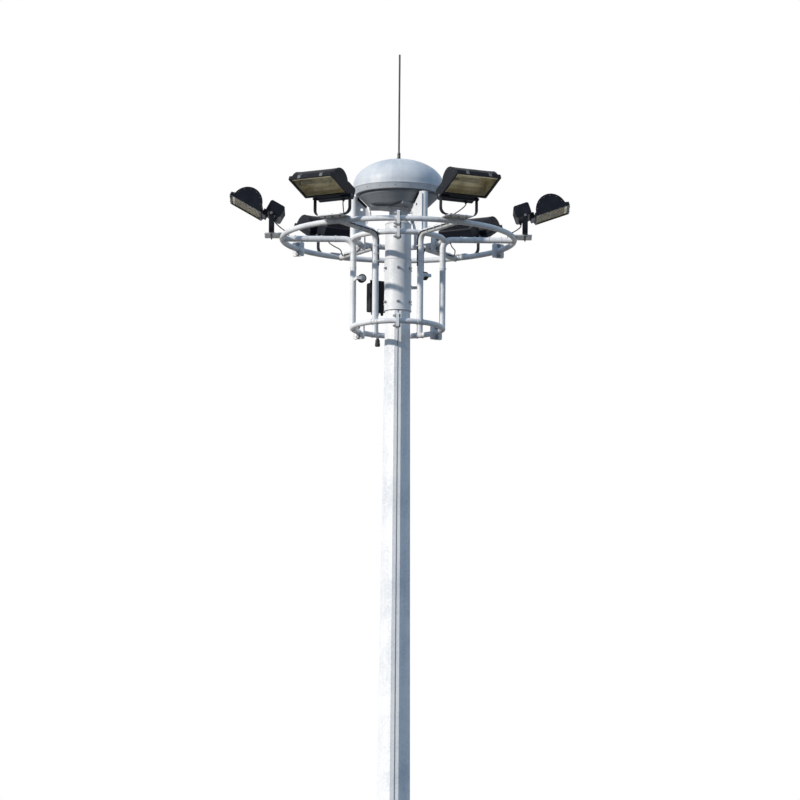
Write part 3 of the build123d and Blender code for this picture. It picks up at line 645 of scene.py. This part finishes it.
# Gear box: ribs along its top, the seams and screws of its end covers, and the gland for the lead
gearBox = {
    "ribs": (-0.066, -0.038, -0.01, 0.018, 0.046), "ribHalf": 0.15,
    "rib": ((-0.0022, 0.1235), (0.0022, 0.1235), (0.0016, 0.1305), (-0.0016, 0.1305)), "end": 0.18,
    "screws": ((-0.066, 0.024), (0.046, 0.024), (-0.066, 0.101), (0.046, 0.101)), "screw": 0.0048,
    "cover": (0.146, 0.111, 0.016, 5), "coverMiddle": (-0.01, 0.0625), "coverEnd": 0.1802,
    "coverSeam": 0.0016,
}
lampGland = {"size": 0.011, "along": -0.052, "side": 0.1, "up": 0.002}
for lamp in lamps:
    shape = bmesh.new()
    steel = bmesh.new()
    reach, rise = flood["reach"], flood["rise"]
    for side in (-1, 1):
        outwards = lampWay(lamp, 0, side, 0)
        rim = arch(reach + 0.001, rise + 0.001, 6, 174, 36)
        addTube(shape, lampLine(lamp, rim, side * barrel["rimSide"]), barrel["rim"], 8)
        seam = arch(reach + 0.0006, rise + 0.0006, 8, 172, 30)
        addTube(shape, lampLine(lamp, seam, side * barrel["seamSide"]), barrel["seam"], 6)
        screws = arch(reach * 0.9, rise * 0.9, 24, 156, 5)
        for point in lampLine(lamp, screws, side * barrel["screwSide"]):
            fasten(steel, "screw", point, outwards, barrel["screw"])

        along, up = flood["frameStart"] + hinge["along"], flood["glassLevel"] + hinge["up"]
        axis = lampWay(lamp, 0, 1, 0)
        start = lampPoint(lamp, along, side * hinge["side"], up) - axis * hinge["half"]
        addTurned(shape, facing(start, axis), hinge["barrel"], 14)

        middle = lampPoint(lamp, flood["frameEnd"], side * clip["side"], clip["level"])
        plate = facing(middle, lampWay(lamp, 1, 0, 0), lampWay(lamp, 0, 0, 1))
        addSlab(steel, plate, *clip["plate"])
        wire = []
        for half, bends in ((1, clip["bends"]), (-1, reversed(clip["bends"]))):
            for x, y, z in bends:
                wire.append(lampPoint(lamp, flood["frameEnd"] + x, side * clip["side"] + half * y, z))
        addTube(steel, wire, clip["wire"], 7)

        pivotEnd = lampPoint(lamp, 0, side * pivotBolt["side"], 0)
        addStack(steel, facing(pivotEnd, outwards), pivotBolt["parts"])
    for rib in gearBox["ribs"]:
        outline = [(rib + x, z) for x, z in gearBox["rib"]]
        addLoft(shape, [lampLine(lamp, outline, side * gearBox["ribHalf"]) for side in (-1, 1)])
    for side in (-1, 1):
        for point in lampLine(lamp, gearBox["screws"], side * gearBox["end"]):
            fasten(steel, "screw", point, lampWay(lamp, 0, side, 0), gearBox["screw"])
        along, up = gearBox["coverMiddle"]
        cover = [(x + along, z + up) for x, z in roundedOutline(*gearBox["cover"])]
        cover = lampLine(lamp, cover, side * gearBox["coverEnd"])
        addTube(shape, cover, gearBox["coverSeam"], 6, closed=True)
    addPiece("lampTrim_" + lamp["number"], shape, "lamp_paint", lamp["body"], 30)
    addPiece("lampSteel_" + lamp["number"], steel, "clipSteel", lamp["body"], 30)
    shape = bmesh.new()
    lamp["exit"] = lampPoint(lamp, lampGland["along"], lampGland["side"], lampGland["up"])
    fasten(shape, "gland", lamp["exit"], lampWay(lamp, 0, 0, -1), lampGland["size"])
    addPiece("lampGland_" + lamp["number"], shape, "glandNylon", lamp["body"], 30)
print("floodlight fittings placed")


# Loose rubber lead from each gear box to the lead strapped beside its spoke, sagging a little on the way
lampLead = {
    "diameter": 0.011,
    "shift": 0.03595,  # from the spoke's middle to the strapped lead's
    "strapStart": 1.043, "exit": 0.026, "straight": 0.02, "sag": 0.008,
    "over": (1.106, 0.072, 0.022),  # the rise over the ring: radius, level and shift
    "landing": (0.018, 0.006),
}


# The strapped lead runs on the side of its spoke and post that faces away from any docking tube
def leadSide(spoke):
    return sideways(spoke) * (-1 if spoke in ringSpots["docks"] else 1)


def declareCord(lead, route, diameter, **facts):
    path = [tuple(point) for point in route]
    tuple(path[0])
    round(routeLength(route), 3)


for lamp in lamps:
    spoke = round(lamp["angle"] / 60) * 60 % 360
    down = lampWay(lamp, 0, 0, -1)
    start = lamp["exit"] + down * lampLead["exit"]
    leaving = start + down * lampLead["straight"]
    radius, level, shift = lampLead["over"]
    over = ringPoint(spoke, radius, level) + leadSide(spoke) * shift
    middle = leaving.lerp(over, 0.5) - upward * lampLead["sag"]
    clipped = ringPoint(spoke, lampLead["strapStart"], 0) + leadSide(spoke) * lampLead["shift"]
    away, rise = lampLead["landing"]
    landing = clipped + outward(spoke) * away + upward * rise
    route = splineRoute([start, leaving, middle, over, landing, clipped + outward(spoke) * 0.0005])
    shape = bmesh.new()
    addTube(shape, route, lampLead["diameter"] / 2, 12)
    lead = addPiece("lampLead_" + lamp["number"], shape, "lead_sheath", None, 60)
    tuple(start)
    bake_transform(lead)
    declareCord(lead, route, lampLead["diameter"], far_end="object", stiffness="medium", lay="loose")
print("lamp leads laid")


# Steel bands that strap the leads to the spokes and posts, with their buckles
bands = {
    "width": 0.01, "gap": 0.0003, "proud": 0.0012,
    "nose": 0.0118,  # how far the band reaches past the tube, round the lead
    "spokeRadii": (0.62, 0.76, 0.9, 1.02), "postLevels": (-0.135, -0.215, -0.29),
    "buckle": ((0.016, 0.014, 0.002, 2), 0.005, 0.001),
}


def bandLoop(centre, first, second, proud):
    tube = tubes["postTube"] + bands["gap"] + proud
    loop = []
    for step in range(36):
        turn = tau * step / 36
        away = Vector((cos(turn), sin(turn)))
        # the band runs straight from the tube over the lead, on the side where second points away
        nose = max(0.0, -away.y) ** 8 * bands["nose"]
        loop.append(centre + first * (away.x * tube) + second * (away.y * tube - nose))
    return loop


def addBand(shape, centre, first, second, axis):
    inner, outer = (bandLoop(centre, first, second, proud) for proud in (0.0, bands["proud"]))
    half = axis * (bands["width"] / 2)
    rings = ((inner, -half), (outer, -half), (outer, half), (inner, half))
    addLoft(shape, [[point + shift for point in ring] for ring, shift in rings], closed=True)
    buckle = facing(centre + first * (tubes["postTube"] + 0.001), first, axis)
    addSlab(shape, buckle, *bands["buckle"])


shape = bmesh.new()
for angle in ringSpots["spokes"]:
    for radius in bands["spokeRadii"]:
        addBand(shape, ringPoint(angle, radius, 0), upward, -leadSide(angle), outward(angle))
    for level in bands["postLevels"]:
        centre = ringPoint(angle, tubes["cageRing"], level)
        addBand(shape, centre, outward(angle), -leadSide(angle), upward)
addPiece("leadBands", shape, "strapSteel", "carriage")

# Where each strapped lead ends, it turns through a gland into its post
grommet = {
    "leadEnd": -0.3,
    "elbow": ((0.03, 0), (0, 0), (-0.02, -0.002), (-0.034, -0.014)),  # rise and shift of its points
    "elbowRadius": 0.0058, "glandLevel": -0.334, "glandSink": 0.003, "glandSize": 0.0065,
}
shape = bmesh.new()
for angle in ringSpots["spokes"]:
    beside = leadSide(angle)
    end = ringPoint(angle, tubes["cageRing"], grommet["leadEnd"]) + beside * lampLead["shift"]
    elbow = [end + upward * rise + beside * shift for rise, shift in grommet["elbow"]]
    addTube(shape, splineRoute(elbow), grommet["elbowRadius"], 12)
    entry = ringPoint(angle, tubes["cageRing"], grommet["glandLevel"])
    entry += beside * (tubes["postTube"] - grommet["glandSink"])
    fasten(shape, "gland", entry, beside * 0.8 + upward * 0.6, grommet["glandSize"])
addPiece("postGrommets", shape, "glandNylon", "carriage", 40)
print("leads strapped")


# Stirrup bolts through the flat brackets, and the welds that hold the brackets to the ring
brackets = {"half": 0.133, "bolt": 0.012, "level": 0.0426, "grip": 0.0153, "sides": (-0.085, 0, 0.085)}
bracketWeld = {"away": 0.0115, "level": 0.0232, "radius": 0.004, "steps": 30}
shape = bmesh.new()
welds = bmesh.new()
for lamp in lamps:
    angle = lamp["angle"]
    radius = lamp["place"].translation.xy.length
    for side in brackets["sides"]:
        point = ringPoint(angle, radius, brackets["level"]) + sideways(angle) * side
        addBolt(shape, point, upward, brackets["bolt"], brackets["grip"], tail=0.009)
    for away in (-bracketWeld["away"], bracketWeld["away"]):
        bead = []
        for step in range(bracketWeld["steps"] + 1):
            share = 2 * step / bracketWeld["steps"] - 1
            turned = angle + degrees(brackets["half"] / tubes["outerRing"]) * share
            bead.append(ringPoint(turned, tubes["outerRing"] + away, bracketWeld["level"]))
        addTube(welds, bead, bracketWeld["radius"], 7)
addPiece("bracketBolts", shape, "boltZinc", "carriage")
addPiece("bracketWelds", welds, "weldMetal", "carriage", 60)
print("brackets fitted")


# Black edging on the docking fins, along the slope that meets the pan
edging = {
    "inner": (0.312, 0.321), "outer": (0.41, 0.419), "half": 0.0095,
    # the edging's section: shares of its half width, and how far each point stands off the slope
    "section": ((-1, -0.016), (-1, 0.0054), (-0.5, 0.009), (0.5, 0.009), (1, 0.0054), (1, -0.016)),
    "ends": (0.03, 0.97),
}
shape = bmesh.new()
for angle in ringSpots["docks"]:
    first, last = Vector(edging["inner"]), Vector(edging["outer"])
    slope = (last - first).normalized()
    normal = Vector((-slope.y, slope.x))
    rows = []
    for share in edging["ends"]:
        row = []
        for across, away in edging["section"]:
            flat = first.lerp(last, share) + normal * away
            row.append(ringPoint(angle, flat.x, flat.y) + sideways(angle) * (across * edging["half"]))
        rows.append(row)
    addLoft(shape, rows)
addPiece("finEdging", shape, "blackFinStrip", "carriage", 40)
print("fins edged")


# Hoist ropes: strands laid round a core, from the socket on the carriage up over the pulley
ropes = {
    "circle": 0.281, "foot": 0.264, "footBlend": 0.272, "topBlend": 0.49, "steps": 42,
    "pulleyRadius": 0.171, "pulleyLevel": 0.52, "pitch": 0.11, "tuck": -0.16,
}
strand = {"count": 6, "radius": 0.0017, "circle": 0.0033, "lay": 0.062}
ropeEnd = {
    "level": 0.262,
    "socket": [(0.0135, 0), (0.0135, 0.004), (0.0085, 0.012), (0.0072, 0.026), (0.0062, 0.028)],
    "pinLevel": 0.226, "pin": 0.01, "pinGrip": 0.027,
}


def addRope(shape, route):
    sides = []
    travelled = 0.0
    normal = (route[1] - route[0]).normalized().orthogonal().normalized()
    for index, point in enumerate(route):
        before = route[max(index - 1, 0)]
        after = route[min(index + 1, len(route) - 1)]
        along = (after - before).normalized()
        normal = (normal - along * normal.dot(along)).normalized()
        travelled += (point - before).length
        sides.append((normal.copy(), along.cross(normal), travelled))
    for number in range(strand["count"]):
        winding = []
        for point, (first, second, length) in zip(route, sides):
            turn = tau * (number / strand["count"] + length / strand["lay"])
            winding.append(point + (first * cos(turn) + second * sin(turn)) * strand["circle"])
        addTube(shape, winding, strand["radius"], 6)
    addTube(shape, route, strand["radius"], 6)


for number, angle in enumerate(ringSpots["docks"], start=1):
    shape = bmesh.new()
    foot = ringPoint(angle, ropes["circle"], ropes["foot"])
    top = ringPoint(angle, ropes["circle"], ropes["pulleyLevel"])
    addRope(shape, [foot.lerp(top, step / ropes["steps"]) for step in range(ropes["steps"] + 1)])
    rope = addPiece(f"hoistRope_{number}", shape, "rope_steel", None, 60)
    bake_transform(rope)
    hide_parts("hoist_ropes")
shape = bmesh.new()
for angle in ringSpots["docks"]:
    over = []
    for step in range(31):
        turn = pi * step / 30
        radius = ropes["pulleyRadius"] + ropes["pitch"] * cos(turn)
        over.append(ringPoint(angle, radius, ropes["pulleyLevel"] + ropes["pitch"] * sin(turn)))
    fall = ringPoint(angle, ropes["pulleyRadius"] - ropes["pitch"], ropes["tuck"])
    over += [over[-1].lerp(fall, step / 60) for step in range(1, 61)]
    addRope(shape, over)
addPiece("ropesOverPulleys", shape, "rope_steel", "mast", 60)
shape = bmesh.new()
for angle in ringSpots["docks"]:
    addTurned(shape, spot(angle, ropes["circle"], ringLevel + ropeEnd["level"]), ropeEnd["socket"], 20)
    across = sideways(angle)
    pin = ringPoint(angle, ropes["circle"], ropeEnd["pinLevel"]) + across * (ropeEnd["pinGrip"] / 2)
    addBolt(shape, pin, across, ropeEnd["pin"], ropeEnd["pinGrip"], tail=0.003)
addPiece("ropeSockets", shape, "strapSteel", "carriage")
print("ropes rigged")


# Guide rollers: pale caps and a raised rim on each side of the tyre, and the nuts on the pins
rollers = {
    "angles": (75, 195, 315), "circle": 0.368, "level": -0.411, "tyreHalf": 0.025,
    "cap": [(0.031, -0.002), (0.031, 0.0012), (0.028, 0.0022), (0.0185, 0.0022), (0.0165, 0.0034)],
    "rim": 0.0345, "rimSide": 0.0256, "rimWire": 0.0012, "nutSide": 0.0355,
    "nut": [
        (18, [(0.0145, 0), (0.0145, 0.002), (0.0125, 0.002)]),
        (6, [(0.0125, 0.002), (0.0125, 0.0105), (0.011, 0.012)]),
    ],
}
pins = bmesh.new()
for number, angle in enumerate(rollers["angles"], start=1):
    shape = bmesh.new()
    tyre = bmesh.new()
    centre = ringPoint(angle, rollers["circle"], rollers["level"])
    for side in (-1, 1):
        axis = sideways(angle) * side
        addTurned(shape, facing(centre + axis * rollers["tyreHalf"], axis), rollers["cap"], 32)
        middle = centre + axis * rollers["rimSide"]
        rim = circle(middle, outward(angle), upward, rollers["rim"], 32)
        addTube(tyre, rim, rollers["rimWire"], 6, closed=True)
        addStack(pins, facing(centre + axis * rollers["nutSide"], axis), rollers["nut"])
    addPiece(f"rollerHub_{number}", shape, "rollerHub", f"roller_{number}")
    addPiece(f"rollerTyreRibs_{number}", tyre, "roller_rubber", f"roller_{number}", 50)
addPiece("rollerPinNuts", pins, "boltZinc", "carriage")
print("rollers detailed")


# Mast: the long weld down one facet of each section
shaft = {"sides": 12, "turn": 16.5, "baseRadius": 0.2725, "ringRadius": 0.122}
lowerInset = 0.0053  # the lower section's facets lie this much nearer the axis than the taper says
seam = {
    "facet": 8, "bead": 0.0052, "weave": 0.0007, "steps": 160,
    "runs": ((0.032, 9.4, lowerInset), (9.402, 18.983, 0)),
}


# Distance from the axis to the middle of a facet
def mastReach(level, inset=0.0):
    taper = shaft["baseRadius"] - shaft["ringRadius"]
    corner = shaft["baseRadius"] - taper * level / ringLevel
    return corner * cos(pi / shaft["sides"]) - inset


facetTurn = 360 / shaft["sides"]
seamAngle = shaft["turn"] + facetTurn * (seam["facet"] + 0.5)
shape = bmesh.new()
for low, high, inset in seam["runs"]:
    line = []
    for step in range(seam["steps"] + 1):
        level = low + (high - low) * step / seam["steps"]
        weave = sideways(seamAngle) * (seam["weave"] * sin(step * 2.3))
        line.append(spot(seamAngle, mastReach(level, inset), level).translation + weave)
    addTube(shape, line, seam["bead"], 7)
addPiece("mastSeam", shape, "boltZinc", "mast", 60)
print("mast seam laid")


# Head: screws round the cap's skirt, set screws in the sleeve and the foot of the lightning rod
skirt = {
    "screws": 18, "turn": 5, "level": 0.4725, "radius": 0.437, "size": 0.0062, "slope": (0.905, -0.425),
}
sleeve = {
    "radius": 0.133, "levels": (-0.3, -0.64), "angles": (30, 90, 150, 210, 270, 330),
    "setScrew": [
        (6, [(0.015, 0), (0.015, 0.01), (0.0135, 0.012)]),
        (14, [(0.0085, 0.012), (0.0085, 0.024), (0.0072, 0.026)]),
    ],
    # level, radius and points of each weld round the sleeve, its neck and the pan's box
    "welds": (
        (-0.721, 0.1339, 72), (-0.207, 0.1325, 72), (0.15, 0.1289, 72), (0.19, 0.0912, 72),
        (0.309, 0.0925, 48),
    ),
}
rodFoot = {
    "level": 0.812, "angles": (45, 135, 225, 315), "radius": 0.027, "screw": 0.005, "clampAngle": 250,
    "clampRadius": 0.015, "clampLevels": (0.024, 0.05),
    "clamp": [(0.006, 0), (0.006, 0.007), (0.005, 0.008)],
}
shape = bmesh.new()
for step in range(skirt["screws"]):
    angle = 360 * step / skirt["screws"] + skirt["turn"]
    away = outward(angle) * skirt["slope"][0] + upward * skirt["slope"][1]
    fasten(shape, "screw", ringPoint(angle, skirt["radius"], skirt["level"]), away, skirt["size"])
for angle in sleeve["angles"]:
    for level in sleeve["levels"]:
        point = ringPoint(angle, sleeve["radius"], level)
        addStack(shape, facing(point, outward(angle)), sleeve["setScrew"])
for angle in rodFoot["angles"]:
    point = ringPoint(angle, rodFoot["radius"], rodFoot["level"])
    fasten(shape, "screw", point, upward, rodFoot["screw"])
for level in rodFoot["clampLevels"]:
    point = ringPoint(rodFoot["clampAngle"], rodFoot["clampRadius"], rodFoot["level"] + level)
    addTurned(shape, facing(point, outward(rodFoot["clampAngle"])), rodFoot["clamp"], 6)
addPiece("headScrews", shape, "boltZinc", "mast")

shape = bmesh.new()
for level, radius, count in sleeve["welds"]:
    addBead(shape, circle(ringPoint(0, 0, level), outward(0), sideways(0), radius, count))
addPiece("headWelds", shape, "weldMetal", "mast", 60)
print("head fittings placed")


# Junction box: lid seam and screws, and the glands under it
box = {
    "angle": 120, "back": 0.47245, "shift": 0.078, "level": -0.495, "width": 0.18, "height": 0.29,
    "depth": 0.126, "corner": 0.014,
}
lidForm = {
    "thick": 0.028, "seam": 0.0022, "screw": 0.0075, "columns": (-0.074, 0.074), "rows": (-0.129, 0, 0.129),
}
boxGlands = {"out": 0.07, "row": ((-0.055, 0.0125), (0, 0.0155), (0.055, 0.0125))}  # shift and size
out = outward(box["angle"])
across = -sideways(box["angle"])
boxBack = ringPoint(box["angle"], box["back"], box["level"]) + across * box["shift"]
lid = placeAt(boxBack + out * box["depth"], across, upward, -out)  # its z axis runs into the box
shape = bmesh.new()
outline = roundedOutline(box["width"] + 0.001, box["height"] + 0.001, box["corner"], 6)
lidSeam = [lid @ Vector((x, y, lidForm["thick"])) for x, y in outline]
addTube(shape, lidSeam, lidForm["seam"], 8, closed=True)
for x in lidForm["columns"]:
    for y in lidForm["rows"]:
        fasten(shape, "screw", lid @ Vector((x, y, 0)), out, lidForm["screw"])
addPiece("boxLidTrim", shape, "box_plastic", "carriage")
shape = bmesh.new()
underside = boxBack + out * boxGlands["out"] - upward * (box["height"] / 2)
for shift, size in boxGlands["row"]:
    fasten(shape, "gland", underside + across * shift + upward * 0.001, -upward, size)
addPiece("boxGlands", shape, "glandNylon", "carriage")

# The carriage's own lead ends in a plug below the lower ring, for the supply at service height
feed = {
    "diameter": 0.016, "exit": 0.026,
    "drops": ((0, 0), (0.06, 0), (0.15, 0.014), (0.235, 0.014)),  # fall and bow of its points
    "plugLap": 0.006,
    "plug": [
        (0, 0), (0.011, 0), (0.014, 0.02), (0.021, 0.03), (0.023, 0.034),
        (0.023, 0.062), (0.026, 0.064), (0.026, 0.088), (0.021, 0.095),
    ],
}
start = underside - upward * feed["exit"]
route = splineRoute([start - upward * fall - out * bow for fall, bow in feed["drops"]])
shape = bmesh.new()
addTurned(shape, facing(route[-1] + upward * feed["plugLap"], -upward), feed["plug"], 28)
servicePlug = addPiece("servicePlug", shape, "glandNylon", "carriage", 30)
shape = bmesh.new()
addTube(shape, route, feed["diameter"] / 2, 14)
lead = addPiece("serviceLead", shape, "lead_sheath", "carriage", 60)
facts = {"far_end": "plug", "stiffness": "stiff", "lay": "hanging", "with_pieces": [servicePlug]}
declareCord(lead, route, feed["diameter"], **facts)
print("junction box fitted")


# Mast foot: studs with their washers and nuts on the flange, and the welds of shell and gussets
anchor = {
    "circle": 0.35, "level": 0.03, "count": 12,
    "parts": [
        (24, [(0.028, 0), (0.028, 0.004), (0.0265, 0.005)]),
        (6, [(0.024, 0.005), (0.0265, 0.008), (0.0265, 0.026), (0.0235, 0.029)]),
        (20, [(0.015, 0.029), (0.015, 0.069), (0.0126, 0.072)]),
    ],
    "threads": 9, "threadStart": 0.033, "pitch": 0.0042,
    "thread": ((0.015, 0), (0.0159, 0.0012), (0.015, 0.0024)),
}
gusset = {"low": 0.032, "high": 0.198, "reach": 0.112, "side": 0.0072}
shape = bmesh.new()
for step in range(anchor["count"]):
    place = spot(shaft["turn"] + facetTurn * step, anchor["circle"], anchor["level"])
    addStack(shape, place, anchor["parts"])
    for ridge in range(anchor["threads"]):
        level = anchor["threadStart"] + ridge * anchor["pitch"]
        addTurned(shape, place, [(radius, level + rise) for radius, rise in anchor["thread"]], 20)
addPiece("anchorNuts", shape, "boltZinc", "mast")
shape = bmesh.new()
footReach = mastReach(0.03, lowerInset)
cornerReach = (footReach + 0.002) / cos(pi / shaft["sides"])
corners = [shaft["turn"] + facetTurn * step for step in range(shaft["sides"])]
addBead(shape, [spot(angle, cornerReach, gusset["low"]).translation for angle in corners])
for corner in corners:
    angle = corner + facetTurn / 2
    for side in (-1, 1):
        shift = sideways(angle) * (side * gusset["side"])
        ends = (
            (footReach + gusset["reach"], gusset["low"]),
            (footReach + 0.004, gusset["low"]),
            (mastReach(0.2, lowerInset) + 0.001, gusset["high"]),
        )
        points = [spot(angle, reach, level).translation + shift for reach, level in ends]
        addBead(shape, points[:2], closed=False)
        addBead(shape, points[1:], closed=False)
addPiece("footWelds", shape, "weldMetal", "mast", 60)

# Access door: two hinges on its left edge and two key locks
door = {
    "angle": 1.5, "hingeShares": (0.14, 0.86), "hingeStart": -0.035, "hingeSide": -0.118, "hingeBack": 0.01,
    "hinge": [(0.008, 0), (0.008, 0.022), (0.0074, 0.023), (0.008, 0.024), (0.008, 0.07)],
    "lockLevels": (-0.22, 0.22), "lockProud": 0.0035,
    "lock": [
        (28, [(0.021, 0), (0.021, 0.003), (0.018, 0.005)]),
        (3, [(0.0095, 0.005), (0.0095, 0.009), (0.0085, 0.01)]),
    ],
}
doorLow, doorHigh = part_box("access_door")
shape = bmesh.new()
for share in door["hingeShares"]:
    level = doorLow.z + (doorHigh.z - doorLow.z) * share
    reach = mastReach(level, lowerInset) - door["hingeBack"]
    start = spot(door["angle"], reach, level + door["hingeStart"]).translation
    addTurned(shape, facing(start + sideways(door["angle"]) * door["hingeSide"], upward), door["hinge"], 18)
for rise in door["lockLevels"]:
    level = (doorLow.z + doorHigh.z) / 2 + rise
    reach = mastReach(level, lowerInset) + door["lockProud"]
    place = facing(spot(door["angle"], reach, level).translation, outward(door["angle"]))
    addStack(shape, place, door["lock"])
addPiece("doorFittings", shape, "boltZinc", "mast")
print("mast foot fitted")


# Camera: a long lens at eye height, far enough off to show the head as the photograph does
view = {
    "distance": 94.05, "height": 1.6, "aimRight": 0.031, "aimBelowRing": 1.61, "lens": 435.0, "roll": 0.48,
}
cameraData = bpy.data.cameras.new("photoCamera")
cameraData.lens = view["lens"]
cameraData.clip_end = 400
camera = addObject("photoCamera", cameraData)
camera.location = (view["aimRight"], -view["distance"], view["height"])
aim = Vector((view["aimRight"], 0, ringLevel - view["aimBelowRing"]))
looking = (aim - camera.location).to_track_quat("-Z", "Y").to_matrix()
camera.rotation_euler = (looking @ Matrix.Rotation(radians(view["roll"]), 3, "Z")).to_euler()
bpy.context.scene.camera = camera

# Light: a low warm sun from the front left, and a blue sky that is brightest just above the horizon
light = {
    "sunStrength": 3.75, "sunColour": (1.0, 0.93, 0.83), "sunAzimuth": -58.0, "sunHeight": 25.5,
    "sunAngle": 1.5, "sky": 0.95, "skyColour": (0.45, 0.69, 1.0, 1),
    "skyStops": [(0.0, grey(0.14)), (0.28, grey(1.0)), (1.0, grey(0.4))],
}
sunData = bpy.data.lights.new("keySun", "SUN")
sunData.energy = light["sunStrength"]
sunData.color = light["sunColour"]
sunData.angle = radians(light["sunAngle"])
sun = addObject("keySun", sunData)
sunLift = radians(light["sunHeight"])
towardSun = outward(light["sunAzimuth"] - 90) * cos(sunLift) + upward * sin(sunLift)
sun.rotation_euler = towardSun.to_track_quat("Z", "Y").to_euler()


# 1 where the camera looks, straight or by way of metal or glass, and 0 where light falls on things
def plainView(tree):
    rays = tree.nodes.new("ShaderNodeLightPath").outputs
    seen, *others = (Wire(tree, rays[f"Is {kind} Ray"]) for kind in ("Camera", "Glossy", "Transmission"))
    return sum(others, seen).clipped()


world = bpy.data.worlds.new("paleSky")
bpy.context.scene.world = world
world.use_nodes = True
skyTree = world.node_tree
plain = plainView(skyTree)
height = plain.make("ShaderNodeSeparateXYZ", None, {0: plain.make("ShaderNodeTexCoord")}, output=2)
skyShare = height.make("ShaderNodeValToRGB", {"stops": light["skyStops"]}, {0: height})
background = skyTree.nodes["Background"]
plug(blendColour(plain, light["skyColour"], grey(1)), background, "Color")
plug(plain + (1 - plain) * skyShare * light["sky"], background, "Strength")

# Floor: pale and plain to the camera; the head stands 19 m over open ground, so little comes up to it
ground = {
    "half": 200.0, "base": grey(0.86), "roughness": 0.9, "patches": 0.8,
    "pale": ((0.92, 0.85, 0.78, 1), (0.94, 0.87, 0.8, 1)), "toObject": (0.06, 0.048, 0.032, 1),
}
floorMesh = bpy.data.meshes.new("floor")
half = ground["half"]
corners = [(-half, -half, 0), (half, -half, 0), (half, half, 0), (-half, half, 0)]
floorMesh.from_pydata(corners, [], [(0, 1, 2, 3)])
floor = addObject("floor", floorMesh)
floorMaterial, here, floorShader = newMaterial("paleFloor", ground["base"], ground["roughness"])
paleFloor = blendColour(noise(here, ground["patches"]), *ground["pale"])
seenFloor = blendColour(plainView(here.tree), ground["toObject"], paleFloor)
plug(seenFloor, floorShader, "Base Color")
floorMesh.materials.append(floorMaterial)

bpy.context.scene.view_settings.view_transform = "Standard"
